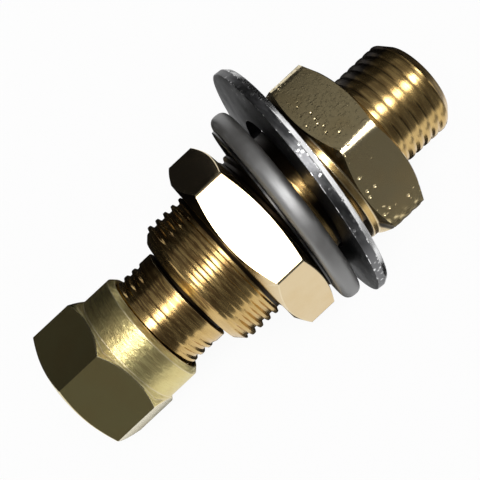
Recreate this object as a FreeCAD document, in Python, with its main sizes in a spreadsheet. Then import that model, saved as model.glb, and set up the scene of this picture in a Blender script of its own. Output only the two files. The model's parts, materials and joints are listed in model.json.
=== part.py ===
import FreeCAD, Part
import os
import re
import Sketcher

# Tank connector. A turned brass body passes through a tank wall, with a steel washer and a rubber ring
# either side of that wall, a lock nut that clamps them and a compression nut with an olive for a pipe.
# X runs along the bore towards the male thread and Z is up. The origin is on the axis, at the round
# face under the hexagon that the washer seats against. Lengths are millimetres, angles are degrees.

SIZES = {
    # The turned body, from the round seating face outwards.
    "collar_d": (25.0, "round face under the hexagon, diameter"),
    "collar_len": (1.1, "round band between that face and the hexagon"),
    "body_af": (25.4, "hexagon of the body, across flats"),
    "body_hex_len": (7.9, "hexagon of the body, along the axis"),
    "body_hex_turn": (1.0, "first corner of the body's hexagon, from straight up"),
    "body_face_d": (24.4, "round end face left by the bevel on the male side"),
    "bevel_angle": (30.0, "bevel that trims hexagon corners, from the end face"),
    "male_d": (16.0, "male thread, outside diameter"),
    "male_len": (11.3, "male thread, length from the hexagon"),
    "male_chamfer": (1.4, "lead on the end of the male thread"),
    "shank_d": (22.0, "thread through the tank wall, outside diameter"),
    "shank_len": (24.6, "shank from the seating face to its shoulder"),
    "shank_chamfer": (1.5, "lead on the shoulder of the shank"),
    "relief_depth": (1.1, "run-out groove under the seating face, depth"),
    "relief_len": (5.2, "run-out groove, width"),
    "comp_d": (16.0, "compression thread, outside diameter"),
    "comp_len": (12.1, "compression thread, length"),
    "comp_chamfer": (0.8, "lead on the end of the compression thread"),
    "neck_len": (2.3, "plain neck between the two threads"),
    # The bore.
    "pipe_d": (10.0, "pipe that goes into the socket, outside diameter"),
    "pipe_play": (0.1, "room round the pipe in the socket and the olive"),
    "mouth_d": (12.5, "mouth of the cone that takes the olive"),
    "mouth_angle": (12.0, "half angle of that cone"),
    "socket_len": (8.0, "straight part of the pipe socket, down to its stop"),
    "waterway_d": (8.0, "bore through the rest of the body"),
    "waterway_lip": (0.6, "chamfer on the mouth of that bore"),
    # The loose rings on the shank. They lean alike, but not quite to the same side.
    "lean_angle": (5.5, "lean of the loose rings"),
    "ring_turn": (22.0, "lean of the rubber ring and slip washer, round from the steel washer's"),
    "washer_d": (39.0, "steel washer, outside diameter"),
    "washer_t": (1.9, "steel washer, thickness"),
    "washer_play": (0.5, "room round the shank in the steel washer"),
    "washer_bevel": (0.75, "bevel on one outer edge of the steel washer, along the axis"),
    "washer_bevel_w": (0.5, "that bevel, across the face"),
    "washer_seat_gap": (0.1, "steel washer to the edge it leans on"),
    "washer_rest_gap": (0.6, "steel washer to the bottom of the groove at its nearest"),
    "wall_gap": (1.5, "room for the tank wall at rest"),
    "seal_d": (33.0, "rubber ring, outside diameter"),
    "seal_t": (2.95, "rubber ring, thickness"),
    "seal_bevel": (0.6, "bevel on the rubber ring's outer edges"),
    "seal_drop": (0.3, "rubber ring, off centre to one side"),
    "slip_w": (2.1, "slip washer, width from its bore to its outside"),
    "slip_t": (0.4, "slip washer, thickness"),
    "slip_drop": (0.7, "slip washer, off centre to the other side"),
    "slip_gap": (0.05, "slip washer to the rubber ring"),
    "ring_play": (0.2, "room left round the shank at a ring's nearest side"),
    # The lock nut.
    "lock_wall": (2.5, "lock nut, from the outside of its thread to a flat"),
    "lock_t": (6.85, "lock nut, thickness"),
    "lock_turn": (26.6, "first corner of the lock nut, from straight up"),
    "lock_face_edge": (0.3, "round end faces of the lock nut, short of a flat"),
    "lock_outer_angle": (33.0, "bevel on the outer end of the lock nut"),
    "lock_inner_angle": (22.0, "bevel on the clamping end of the lock nut"),
    "lock_gap": (0.1, "lock nut to the edge of the slip washer"),
    "thread_gap": (0.05, "running clearance between a nut and its thread"),
    "thread_lead": (0.5, "countersink at the mouths of the nuts"),
    # The compression nut and its olive.
    "cap_af": (19.0, "compression nut, across flats"),
    "cap_len": (14.5, "compression nut, length"),
    "cap_hex_len": (8.85, "hexagon and its shoulder, along the axis"),
    "cap_turn": (-11.0, "first corner of the compression nut, from straight up"),
    "cap_face_d": (17.8, "round end face of the compression nut"),
    "cap_bevel_angle": (24.0, "bevel on that end"),
    "cap_shoulder_angle": (36.0, "shoulder between the hexagon and the skirt"),
    "cap_skirt_d": (18.75, "round skirt, outside diameter"),
    "cap_skirt_chamfer": (0.7, "chamfer on the open edge of the skirt"),
    "cap_wall": (3.6, "end wall of the compression nut"),
    "cap_hole_play": (0.2, "room round the pipe in the end wall"),
    "olive_d": (12.6, "olive, outside diameter at its land"),
    "olive_end_d": (10.9, "olive, outside diameter at its ends"),
    "olive_land": (2.0, "straight land round the middle of the olive"),
    "olive_taper": (2.25, "each tapered end of the olive, along the axis"),
    "olive_gap": (1.1, "olive's land to the mouth of the body before tightening"),
    "olive_seat_gap": (0.6, "olive to its seat in the nut, along the axis"),
}

# Places along the axis and radii, worked out from the sizes. A leaning ring needs a wider bore.
HEX_END = "(collar_len + body_hex_len)"
MALE_END = f"({HEX_END} + male_len)"
SHANK_END = "(-shank_len)"
NECK_END = f"({SHANK_END} - neck_len)"
COMP_END = f"({NECK_END} - comp_len)"
SOCKET_R = "(pipe_d / 2 + pipe_play)"
LEAN = "(lean_angle * 1 deg)"
RING_SIDE = "(ring_turn * 1 deg)"
WASHER_X = f"(-washer_seat_gap - (washer_t / 2 + collar_d / 2 * sin{LEAN}) / cos{LEAN})"
WASHER_R = "(shank_d / 2 + washer_play)"
WASHER_SHIFT = "(washer_play + relief_depth - washer_rest_gap)"
SEAL_X = f"({WASHER_X} - (washer_t / 2 + wall_gap + seal_t / 2) / cos{LEAN})"
SLIP_X = f"({SEAL_X} - (seal_t / 2 + slip_gap + slip_t / 2) / cos{LEAN})"
RING_BORE = f"shank_d / 2 / cos{LEAN} + ring_play"
SEAL_BORE = f"({RING_BORE} + seal_t / 2 * tan{LEAN} + seal_drop)"
SLIP_BORE = f"({RING_BORE} + slip_t / 2 * tan{LEAN} + slip_drop)"
SLIP_REACH = f"({SLIP_BORE} + slip_w - slip_drop * cos{RING_SIDE})"
LOCK_END = f"({SLIP_X} - (slip_t / 2 + {SLIP_REACH} * sin{LEAN}) / cos{LEAN} - lock_gap)"
LOCK_START = f"({LOCK_END} - lock_t)"
LOCK_AF = "(shank_d + 2 * lock_wall)"
OLIVE_BACK = f"({COMP_END} - olive_gap - olive_land)"
CAP_SEAT = f"({OLIVE_BACK} - olive_seat_gap)"
CAP_START = f"({CAP_SEAT} - cap_wall)"
CAP_END = f"({CAP_START} + cap_len)"
CAP_SHOULDER = f"({CAP_START} + cap_hex_len)"
CAP_HOLE_R = "(pipe_d / 2 + cap_hole_play)"
OLIVE_SLOPE = "((olive_d - olive_end_d) / 2 / olive_taper)"

doc = FreeCAD.newDocument("tank_connector")
sheet = doc.addObject("Spreadsheet::Sheet", "Sizes")
for row, (alias, (value, meaning)) in enumerate(SIZES.items(), start=1):
    sheet.set(f"A{row}", meaning)
    sheet.set(f"B{row}", str(value))
    sheet.setAlias(f"B{row}", alias)
doc.recompute()

ALIAS = re.compile(r"\b(" + "|".join(SIZES) + r")\b")


def cells(expression):
    """The expression with every size's name pointing at its cell of the sheet."""
    return ALIAS.sub(r"Sizes.\1", expression)


def number(expression):
    """What an expression of the sizes comes to now."""
    return float(sheet.evalExpression(cells(expression)))


def new_body(label):
    """An empty sub-part."""
    body = doc.addObject("PartDesign::Body", label)
    body.Label = label
    return body


def origin_feature(body, role):
    """The body's own origin plane or axis with this role."""
    return next(feature for feature in body.Origin.OriginFeatures if feature.Role == role)


def outline(body, name, role, corners):
    """A closed outline on an origin plane, with both coordinates of every corner bound to the sizes."""
    sketch = body.newObject("Sketcher::SketchObject", name)
    sketch.AttachmentSupport = [(origin_feature(body, role), "")]
    sketch.MapMode = "FlatFace"
    points = [FreeCAD.Vector(number(x), number(y), 0) for x, y in corners]
    count = len(points)
    for i in range(count):
        sketch.addGeometry(Part.LineSegment(points[i], points[(i + 1) % count]))
    for i in range(count):
        sketch.addConstraint(Sketcher.Constraint("Coincident", i, 2, (i + 1) % count, 1))
    for i, (x, y) in enumerate(corners):
        for kind, expression in (("DistanceX", x), ("DistanceY", y)):
            index = sketch.addConstraint(Sketcher.Constraint(kind, -1, 1, i, 1, number(expression)))
            sketch.setExpression(f"Constraints[{index}]", cells(expression))
    return sketch


def turned(body, name, corners, feature="PartDesign::Revolution"):
    """A profile of (along the axis, radius) corners turned about X, as material or as a groove."""
    sketch = outline(body, name + "_profile", "XY_Plane", corners)
    made = body.newObject(feature, name)
    made.Profile = sketch
    made.ReferenceAxis = (origin_feature(body, "X_Axis"), [""])
    made.Angle = 360
    doc.recompute()
    return made


def cut_turned(body, name, corners):
    """A groove about X, which has to take material away."""
    before = body.Shape.Volume
    turned(body, name, corners, "PartDesign::Groove")
    if body.Shape.Volume > before - 1e-6:
        raise RuntimeError(f"{body.Label}: {name} cut nothing")


def hexagon(body, name, across_flats, turn, start, end):
    """A hexagon across the axis, from start to end, with its first corner turned from straight up."""
    corner_r = f"{across_flats} / 2 / cos(30 deg)"
    angles = [f"({turn} * 1 deg + {60 * k} deg)" for k in range(6)]
    corners = [(f"-{corner_r} * sin{a}", f"{corner_r} * cos{a}") for a in angles]
    sketch = outline(body, name + "_outline", "YZ_Plane", corners)
    sketch.setExpression("AttachmentOffset.Base.z", cells(start))
    pad = body.newObject("PartDesign::Pad", name)
    pad.Profile = sketch
    pad.setExpression("Length", cells(f"{end} - {start}"))
    doc.recompute()


def trim_corners(body, name, across_flats, face_r, end, angle, inward):
    """Trim the hexagon's corners to a cone that leaves a round of face_r at the end.

    inward is 1 where the material lies towards +X from that end, and -1 where it lies towards -X.
    The cutter reaches 0.6 of the width across flats, just past the corners at 0.577 of it.
    """
    reach = f"({across_flats} * 0.6)"
    depth = f"(({reach} - {face_r}) * tan({angle} * 1 deg))"
    inner = f"{end} + {inward} * {depth}"
    cut_turned(body, name, [(end, face_r), (end, reach), (inner, reach)])


def lean(body, centre_x, shift, side="(0 deg)"):
    """Lean a loose ring towards +X and push it off centre along Y, within its own plane.

    It leans on its +Y side, or on a side turned from there towards -Z.
    """
    axis = f"create(<<vector>>; 0; -sin{side}; -cos{side})"
    rotation = f"create(<<rotation>>; {axis}; lean_angle)"
    base = f"create(<<vector>>; {centre_x} + {shift} * cos{side} * sin{LEAN}; {shift} * cos{LEAN}; 0)"
    body.setExpression("Placement", cells(f"create(<<placement>>; {base}; {rotation})"))


def connector_body():
    """Bar turned to two threads either side of a hexagon, then bored through from both ends."""
    body = new_body("connector_body")
    relief_r = "(shank_d / 2 - relief_depth)"
    turned(body, "turned_bar", [
        (COMP_END, "0"),
        (COMP_END, "comp_d / 2 - comp_chamfer"),
        (f"{COMP_END} + comp_chamfer", "comp_d / 2"),
        (SHANK_END, "comp_d / 2"),
        (SHANK_END, "shank_d / 2 - shank_chamfer"),
        (f"{SHANK_END} + shank_chamfer", "shank_d / 2"),
        ("-relief_len - relief_depth", "shank_d / 2"),
        ("-relief_len", relief_r),
        ("0", relief_r),
        ("0", "collar_d / 2"),
        ("collar_len", "collar_d / 2"),
        ("collar_len", "male_d / 2"),
        (f"{MALE_END} - male_chamfer", "male_d / 2"),
        (MALE_END, "male_d / 2 - male_chamfer"),
        (MALE_END, "0"),
    ])
    hexagon(body, "spanner_hexagon", "body_af", "body_hex_turn", "collar_len", HEX_END)
    trim_corners(body, "wall_side_bevel", "body_af", "(collar_d / 2)", "collar_len", "bevel_angle", 1)
    trim_corners(body, "male_side_bevel", "body_af", "(body_face_d / 2)", HEX_END, "bevel_angle", -1)
    mouth_end = f"({COMP_END} + (mouth_d / 2 - {SOCKET_R}) / tan(mouth_angle * 1 deg))"
    cut_turned(body, "bore", [
        (COMP_END, "0"),
        (COMP_END, "mouth_d / 2"),
        (mouth_end, SOCKET_R),
        (f"{mouth_end} + socket_len", SOCKET_R),
        (f"{mouth_end} + socket_len", "waterway_d / 2"),
        (f"{MALE_END} - waterway_lip", "waterway_d / 2"),
        (MALE_END, "waterway_d / 2 + waterway_lip"),
        (MALE_END, "0"),
    ])
    return body


def steel_washer():
    """Stamped washer with one bevelled outer edge."""
    body = new_body("steel_washer")
    turned(body, "ring", [
        ("-washer_t / 2", WASHER_R),
        ("washer_t / 2", WASHER_R),
        ("washer_t / 2", "washer_d / 2 - washer_bevel_w"),
        ("washer_t / 2 - washer_bevel", "washer_d / 2"),
        ("-washer_t / 2", "washer_d / 2"),
    ])
    lean(body, WASHER_X, WASHER_SHIFT)
    return body


def flat_ring(label, thickness, bore_r, outer_r):
    """A flat ring, still square to the axis."""
    body = new_body(label)
    ring = turned(body, "ring", [
        (f"-{thickness} / 2", bore_r),
        (f"{thickness} / 2", bore_r),
        (f"{thickness} / 2", outer_r),
        (f"-{thickness} / 2", outer_r),
    ])
    return body, ring


def seal_ring():
    """Moulded rubber ring with both outer edges broken."""
    body, ring = flat_ring("seal_ring", "seal_t", SEAL_BORE, "seal_d / 2")
    rims = [f"Edge{i}" for i, edge in enumerate(ring.Shape.Edges, start=1)
            if isinstance(edge.Curve, Part.Circle) and abs(edge.Curve.Radius - number("seal_d / 2")) < 1e-6]
    bevel = body.newObject("PartDesign::Chamfer", "broken_edges")
    bevel.Base = (ring, rims)
    bevel.setExpression("Size", cells("min(seal_bevel; seal_t * 0.45)"))
    lean(body, SEAL_X, "(-seal_drop)", RING_SIDE)
    return body


def slip_washer():
    """Thin washer that keeps the turning nut off the rubber."""
    body, _ = flat_ring("slip_washer", "slip_t", SLIP_BORE, f"{SLIP_BORE} + slip_w")
    lean(body, SLIP_X, "slip_drop", RING_SIDE)
    return body


def lock_nut():
    """Hexagon nut, bevelled at both ends and bored for the shank's thread."""
    body = new_body("lock_nut")
    hexagon(body, "spanner_hexagon", LOCK_AF, "lock_turn", LOCK_START, LOCK_END)
    face_r = f"({LOCK_AF} / 2 - lock_face_edge)"
    trim_corners(body, "outer_bevel", LOCK_AF, face_r, LOCK_START, "lock_outer_angle", 1)
    trim_corners(body, "clamping_bevel", LOCK_AF, face_r, LOCK_END, "lock_inner_angle", -1)
    bore_r = "(shank_d / 2 + thread_gap)"
    cut_turned(body, "thread_bore", [
        (LOCK_START, "0"),
        (LOCK_START, f"{bore_r} + thread_lead"),
        (f"{LOCK_START} + thread_lead", bore_r),
        (f"{LOCK_END} - thread_lead", bore_r),
        (LOCK_END, f"{bore_r} + thread_lead"),
        (LOCK_END, "0"),
    ])
    return body


def compression_nut():
    """Hexagon nut with a round skirt, a thread bore and a tapered seat behind the pipe hole."""
    body = new_body("compression_nut")
    skirt_r = "(cap_skirt_d / 2)"
    turned(body, "skirt", [
        (CAP_SEAT, "0"),
        (CAP_SEAT, skirt_r),
        (f"{CAP_END} - cap_skirt_chamfer", skirt_r),
        (CAP_END, f"{skirt_r} - cap_skirt_chamfer"),
        (CAP_END, "0"),
    ])
    hexagon(body, "spanner_hexagon", "cap_af", "cap_turn", CAP_START, CAP_SHOULDER)
    trim_corners(body, "end_bevel", "cap_af", "(cap_face_d / 2)", CAP_START, "cap_bevel_angle", 1)
    trim_corners(body, "shoulder", "cap_af", skirt_r, CAP_SHOULDER, "cap_shoulder_angle", -1)
    bore_r = "(comp_d / 2 + thread_gap)"
    seat_end = f"({CAP_SEAT} - (olive_d / 2 - {CAP_HOLE_R}) / {OLIVE_SLOPE})"
    cut_turned(body, "bore", [
        (CAP_START, "0"),
        (CAP_START, CAP_HOLE_R),
        (seat_end, CAP_HOLE_R),
        (CAP_SEAT, "olive_d / 2"),
        (CAP_SEAT, bore_r),
        (f"{CAP_END} - thread_lead", bore_r),
        (CAP_END, f"{bore_r} + thread_lead"),
        (CAP_END, "0"),
    ])
    return body


def olive():
    """Brass ring, tapered at both ends, that grips the pipe when the nut is drawn up."""
    body = new_body("olive")
    land_end = f"({OLIVE_BACK} + olive_land)"
    turned(body, "ring", [
        (f"{OLIVE_BACK} - olive_taper", SOCKET_R),
        (f"{OLIVE_BACK} - olive_taper", "olive_end_d / 2"),
        (OLIVE_BACK, "olive_d / 2"),
        (land_end, "olive_d / 2"),
        (f"{land_end} + olive_taper", "olive_end_d / 2"),
        (f"{land_end} + olive_taper", SOCKET_R),
    ])
    return body


PIECES = [connector_body(), steel_washer(), seal_ring(), slip_washer(),
          lock_nut(), compression_nut(), olive()]
doc.recompute()

for item in doc.Objects:
    if {"Invalid", "Error"} & set(item.State):
        raise RuntimeError(f"{item.Label} failed: {item.State}")
for piece in PIECES:
    if piece.Shape.isNull() or not piece.Shape.isValid() or len(piece.Shape.Solids) != 1:
        raise RuntimeError(f"{piece.Label} isn't one valid solid")

os.makedirs("parts", exist_ok=True)
for piece in PIECES:
    piece.Shape.exportStep(os.path.join("parts", piece.Label + ".step"))
    box = piece.Shape.BoundBox
    print(f"{piece.Label}: {piece.Shape.Volume:.1f} mm3, x {box.XMin:.2f} to {box.XMax:.2f}")
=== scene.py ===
# %% [markdown]
# # A brass tank connector
# A tank connector takes a pipe through the wall of a water tank. A turned brass body carries a hexagon
# and three threads. A steel washer, a rubber ring and a lock nut clamp it to the wall, and a compression
# nut squeezes an olive on to the pipe. The sizes and the motion come from the CAD frame, so this lesson
# only gives each piece its finished surface. Nothing here moves or resizes a CAD part.

# %% Load the frame
import json
import math

import bmesh
import bpy
import numpy as np
from mathutils import Matrix, Vector


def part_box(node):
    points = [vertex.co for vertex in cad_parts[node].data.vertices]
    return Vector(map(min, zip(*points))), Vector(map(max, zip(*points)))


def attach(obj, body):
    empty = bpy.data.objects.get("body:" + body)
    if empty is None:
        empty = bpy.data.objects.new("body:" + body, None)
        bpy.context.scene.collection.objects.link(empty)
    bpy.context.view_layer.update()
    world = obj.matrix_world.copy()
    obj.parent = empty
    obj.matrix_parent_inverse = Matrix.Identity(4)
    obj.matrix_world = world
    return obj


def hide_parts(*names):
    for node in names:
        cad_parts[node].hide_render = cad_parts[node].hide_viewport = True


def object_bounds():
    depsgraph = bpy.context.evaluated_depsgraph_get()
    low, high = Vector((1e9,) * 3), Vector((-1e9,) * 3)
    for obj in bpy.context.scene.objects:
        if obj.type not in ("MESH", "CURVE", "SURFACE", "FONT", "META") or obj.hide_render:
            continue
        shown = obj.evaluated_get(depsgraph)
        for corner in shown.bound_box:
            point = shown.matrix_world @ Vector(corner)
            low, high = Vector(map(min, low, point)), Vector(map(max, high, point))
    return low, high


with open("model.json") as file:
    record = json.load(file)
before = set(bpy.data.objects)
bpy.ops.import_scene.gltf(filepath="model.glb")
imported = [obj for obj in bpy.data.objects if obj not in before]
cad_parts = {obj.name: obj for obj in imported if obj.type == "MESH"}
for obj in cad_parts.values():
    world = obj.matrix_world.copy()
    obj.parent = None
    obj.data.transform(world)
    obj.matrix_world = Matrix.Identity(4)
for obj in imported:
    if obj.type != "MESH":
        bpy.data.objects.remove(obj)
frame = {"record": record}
cad_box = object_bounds()
MM = 0.001


def in_mm(box):
    """The two corners of a box in millimetres, rounded to be printed."""
    return [[round(c / MM, 2) for c in corner] for corner in box]


print("CAD box in mm:", in_mm(cad_box))

# %% [markdown]
# ## The camera
# The photo looks straight down on the lying connector, with its axis slanting up to the right. A camera
# can be aimed with a Track To constraint, but three perpendicular directions written as the columns of a
# matrix say exactly which way is right and which is up, so the slant is one plain number.

# %% Camera
IMAGE_PX = 480
FOCAL_PX = 658.0
SENSOR_WIDTH = 36.0
AXIS_SLANT = math.radians(43.0)
EYE = Vector((-15.2, 0.47, 97.0)) * MM
AIM = Vector((-14.45, 0.47, 0.0)) * MM

back = (EYE - AIM).normalized()
right = Vector((math.cos(AXIS_SLANT), -math.sin(AXIS_SLANT), 0.0))
up = back.cross(right).normalized()
right = up.cross(back)
lens = bpy.data.cameras.new("photo_camera")
lens.sensor_width = SENSOR_WIDTH
lens.lens = FOCAL_PX / IMAGE_PX * SENSOR_WIDTH
lens.clip_start = MM
camera = bpy.data.objects.new("photo_camera", lens)
camera.matrix_world = Matrix.Translation(EYE) @ Matrix((right, up, back)).transposed().to_4x4()
bpy.context.scene.collection.objects.link(camera)
bpy.context.scene.camera = camera
print(f"camera: {lens.lens:.0f} mm lens, {EYE.z / MM:.0f} mm above the axis")

# %% [markdown]
# ## Arithmetic on shader sockets
# A finish is a sum of small patterns, and sums are easier to read as Python than as a web of nodes. This
# class wraps one socket. Its operators add Math nodes, and `node` adds any other kind: its settings are
# set first, because some of them change which sockets exist.

# %% A socket that does arithmetic
class Wire:
    """One output socket of a node tree, or none yet, with Python's arithmetic."""

    def __init__(self, tree, socket=None):
        self.tree = tree
        self.socket = socket

    def node(self, kind, settings=None, sockets=None, output=0):
        """Add a node: its type, its settings, then a value or a wire for each socket."""
        made = self.tree.nodes.new(kind)
        for name, value in (settings or {}).items():
            setattr(made, name, value)
        for key, value in (sockets or {}).items():
            socket = made.inputs[key]
            if isinstance(value, Wire):
                self.tree.links.new(value.socket, socket)
            else:
                socket.default_value = (*value, 1.0) if socket.type == "RGBA" else value
        return Wire(self.tree, made.outputs[output] if made.outputs else None)

    def math(self, operation, *values):
        """A Math node of these values, in order."""
        return self.node("ShaderNodeMath", {"operation": operation}, dict(enumerate(values)))

    def __add__(self, other):
        return self.math("ADD", self, other)

    def __sub__(self, other):
        return self.math("SUBTRACT", self, other)

    def __mul__(self, other):
        return self.math("MULTIPLY", self, other)

    def __rsub__(self, other):
        return self.math("SUBTRACT", other, self)

    __radd__ = __add__
    __rmul__ = __mul__

    def larger(self, other):
        """The larger of two masks, which lays one over the other."""
        return self.math("MAXIMUM", self, other)

    def rise(self, low, high):
        """A smooth step: 0 below low, 1 above high. With low above high it falls instead."""
        sockets = {"Value": self, "From Min": low, "From Max": high}
        return self.node("ShaderNodeMapRange", {"interpolation_type": "SMOOTHSTEP"}, sockets)

    def tint(self, plain, marked):
        """A colour that goes from plain to marked as this mask goes from 0 to 1."""
        settings = {"data_type": "RGBA", "clamp_factor": True}
        return self.node("ShaderNodeMix", settings, {0: self, 6: plain, 7: marked}, output=2)


print("sockets take + - * and 1 - mask")

# %% [markdown]
# ## The white room
# Metal has almost no colour of its own: it shows what stands round it, so lighting it means choosing what
# it reflects. The world here is white where it is seen, by the camera or in a reflection, and dimmer as a
# light, so that the brass mirrors a white room without being washed out by it. A panorama could be wrapped
# round the scene instead, but two plain numbers are easier to balance.

# %% World
WHITE = (1.0, 1.0, 1.0)
WHITE_VIEW = 1.0
FILL_LEVEL = 0.28


def seen_directly(pen):
    """1 on rays that show the background: from the camera, a reflection or through glass."""
    ray = pen.tree.nodes.new("ShaderNodeLightPath")
    names = ("Is Camera Ray", "Is Glossy Ray", "Is Transmission Ray")
    camera_ray, glossy_ray, through_ray = (Wire(pen.tree, ray.outputs[name]) for name in names)
    return pen.math("MINIMUM", camera_ray + glossy_ray + through_ray, 1.0)


world = bpy.data.worlds.new("studio")
bpy.context.scene.world = world
world.use_nodes = True
world.node_tree.nodes.clear()
pen = Wire(world.node_tree)
level = seen_directly(pen) * (WHITE_VIEW - FILL_LEVEL) + FILL_LEVEL
sky = pen.node("ShaderNodeBackground", sockets={"Color": WHITE, "Strength": level})
pen.node("ShaderNodeOutputWorld", sockets={"Surface": sky})
print(f"world: {WHITE_VIEW} where it is seen, {FILL_LEVEL} as a light")

# %% [markdown]
# ## The floor
# The ground of the photo is white. A floor that only glows would lose the object's shadow, and one that is
# only lit would come out grey. This one mixes the two: mostly glow where it is seen, over plain paper that
# the object still darkens.

# %% Floor
FLOOR_SHARE = 0.93
FLOOR_COLOUR = (0.86, 0.86, 0.86)
FLOOR_REACH = 1.5
FLOOR_GAP = 0.2 * MM
floor_height = cad_box[0].z - FLOOR_GAP


def empty_material(name):
    """A material with no nodes yet, and a wire to draw it with."""
    material = bpy.data.materials.new(name)
    material.use_nodes = True
    material.node_tree.nodes.clear()
    return material, Wire(material.node_tree)


def grid_quads(rows, columns):
    """The corners of every quad of a grid: a point, the next in its row, and the two in the row after."""
    index = np.arange(rows * columns).reshape(rows, columns)
    quads = np.stack([index[:-1, :-1], index[:-1, 1:], index[1:, 1:], index[1:, :-1]], axis=-1)
    return quads.reshape(-1, 4).tolist()


def stage_sheet(name, points, material):
    """A sheet of the studio from a grid of points, in metres."""
    mesh = bpy.data.meshes.new(name)
    mesh.from_pydata(points.reshape(-1, 3).tolist(), [], grid_quads(*points.shape[:2]))
    mesh.materials.append(material)
    sheet = bpy.data.objects.new(name, mesh)
    bpy.context.scene.collection.objects.link(sheet)
    return sheet


floor_paper, pen = empty_material("floor_paper")
shade = pen.node("ShaderNodeBsdfDiffuse", sockets={"Color": FLOOR_COLOUR})
glow = pen.node("ShaderNodeEmission", sockets={"Color": WHITE, "Strength": WHITE_VIEW})
paper = pen.node("ShaderNodeMixShader", sockets={0: seen_directly(pen) * FLOOR_SHARE, 1: shade, 2: glow})
pen.node("ShaderNodeOutputMaterial", sockets={"Surface": paper})
reach = np.linspace(-FLOOR_REACH, FLOOR_REACH, 2)
floor_x, floor_y = np.meshgrid(reach, reach)
floor_z = np.full_like(floor_x, floor_height)
stage_sheet("floor", np.stack([floor_x, floor_y, floor_z], axis=-1), floor_paper)
print(f"floor at {floor_height / MM:.1f} mm")

# %% [markdown]
# ## The lamp
# One long soft light hangs just beside the camera. It draws the white stripe along every turned piece and
# fills the top flat of the lock nut. A rectangular area lamp along the axis does both. Its power is worked
# out from how bright its face should look, so a change of size leaves the stripe as bright.

# %% Lamp
LAMP_DISTANCE = 0.4
LAMP_SIZE = (0.36, 0.105)
LAMP_BEARING = math.radians(-6.0)
LAMP_RADIANCE = 10.0

lamp_data = bpy.data.lights.new("long_soft_light", "AREA")
lamp_data.shape = "RECTANGLE"
lamp_data.size, lamp_data.size_y = LAMP_SIZE
lamp_data.energy = LAMP_RADIANCE * math.pi * LAMP_SIZE[0] * LAMP_SIZE[1]
lamp = bpy.data.objects.new("long_soft_light", lamp_data)
lamp.matrix_world = Matrix.Translation((AIM.x, 0.0, 0.0)) @ Matrix.Rotation(LAMP_BEARING, 4, "X")
lamp.matrix_world = lamp.matrix_world @ Matrix.Translation((0.0, 0.0, LAMP_DISTANCE))
bpy.context.scene.collection.objects.link(lamp)
print(f"lamp of {lamp_data.energy:.2f} W")

# %% [markdown]
# ## Dark cards and mats
# The room of the photo is dark on both sides of the light, and the flats of the brass mirror that. People
# who photograph bright metal stand black cards round it, and so does this scene. The cards are sheets bent
# round the axis. The mats lie on the floor, where the sides of the threads and the rings look. Three of
# them, under the object and beside the shank and the hexagon, are a painted shadow of the object on the
# floor.
# Only reflections see them, so they take no light from the object and never show in the picture.

# %% Cards and mats
CARD_RADIUS, CARD_LENGTH, CARD_POINTS = 0.5, 1.6, 25
MAT_LIFT, MAT_POINTS = 0.3 * MM, 9
# Each card: its name, its first and last bearing in degrees, and its glow at each.
CARDS = [
    ("card_upper_left", -14.0, -64.5, 0.17, 0.20),
    ("card_far_left", -64.5, -95.0, 0.012, 0.05),
    ("card_lower_right", 5.0, 77.0, 0.095, 0.12)]
# Each mat: its name, its ends along x, its near and far edge along y, in mm, and its glow at each edge.
MATS = [
    ("mat_by_the_nuts", -800, -6, 10, 500, 0.01, 0.02),
    ("mat_past_the_male_end", 24, 800, -8, 500, 0.01, 0.02),
    ("mat_past_the_lower_side", 48, 400, -8, -250, 0.3, 0.2),
    ("mat_by_the_male_thread", 11, 24, 10, 33, 0.01, 0.02),
    # The next three mats are a painted shadow: the object's shadow on the floor, seen only in reflections.
    ("painted_shadow_under_the_object", -60, 30, 10, -15.5, 0.02, 0.02),
    ("painted_shadow_by_the_shank", -27, -9, -15.5, -34, 0.02, 0.02),
    ("painted_shadow_by_the_hexagon", 4, 20, -15.5, -60, 0.02, 0.04),
    ("mat_far_beside", -6, 24, 95, 500, 0.02, 0.02)]


def dark_sheet(name, points, near, far):
    """A sheet that only reflections see. Its glow runs from near to far along the columns of its points."""
    material, pen = empty_material(name + "_cloth")
    share = pen.node("ShaderNodeAttribute", {"attribute_name": "across"}, output="Fac")
    grey = share.tint((near, near, near), (far, far, far))
    glow = pen.node("ShaderNodeEmission", sockets={"Color": grey, "Strength": 1.0})
    pen.node("ShaderNodeOutputMaterial", sockets={"Surface": glow})
    sheet = stage_sheet(name, points, material)
    rows, columns = points.shape[:2]
    across = sheet.data.attributes.new("across", "FLOAT", "POINT")
    across.data.foreach_set("value", np.tile(np.linspace(0.0, 1.0, columns), rows).astype(np.float32))
    sheet.visible_camera = False
    sheet.visible_diffuse = False
    sheet.visible_transmission = False
    sheet.visible_shadow = False


def dark_card(name, first, last, near, far):
    """A card bent round the axis: at bearing b it lies at CARD_RADIUS * (-sin b, cos b), for any x."""
    bearing = np.radians(np.linspace(first, last, CARD_POINTS))
    bearing, x = np.meshgrid(bearing, [-CARD_LENGTH / 2, CARD_LENGTH / 2])
    points = np.stack([x, -CARD_RADIUS * np.sin(bearing), CARD_RADIUS * np.cos(bearing)], axis=-1)
    dark_sheet(name, points, near, far)


def dark_mat(name, first_x, last_x, near_y, far_y, near, far):
    """A mat on the floor: flat, between two places along x, from near_y to far_y."""
    y, x = np.meshgrid(np.linspace(near_y, far_y, MAT_POINTS) * MM, [first_x * MM, last_x * MM])
    dark_sheet(name, np.stack([x, y, np.full_like(x, floor_height + MAT_LIFT)], axis=-1), near, far)


for card in CARDS:
    dark_card(*card)
for mat in MATS:
    dark_mat(*mat)
print(len(CARDS), "dark cards and", len(MATS), "dark mats")

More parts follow.
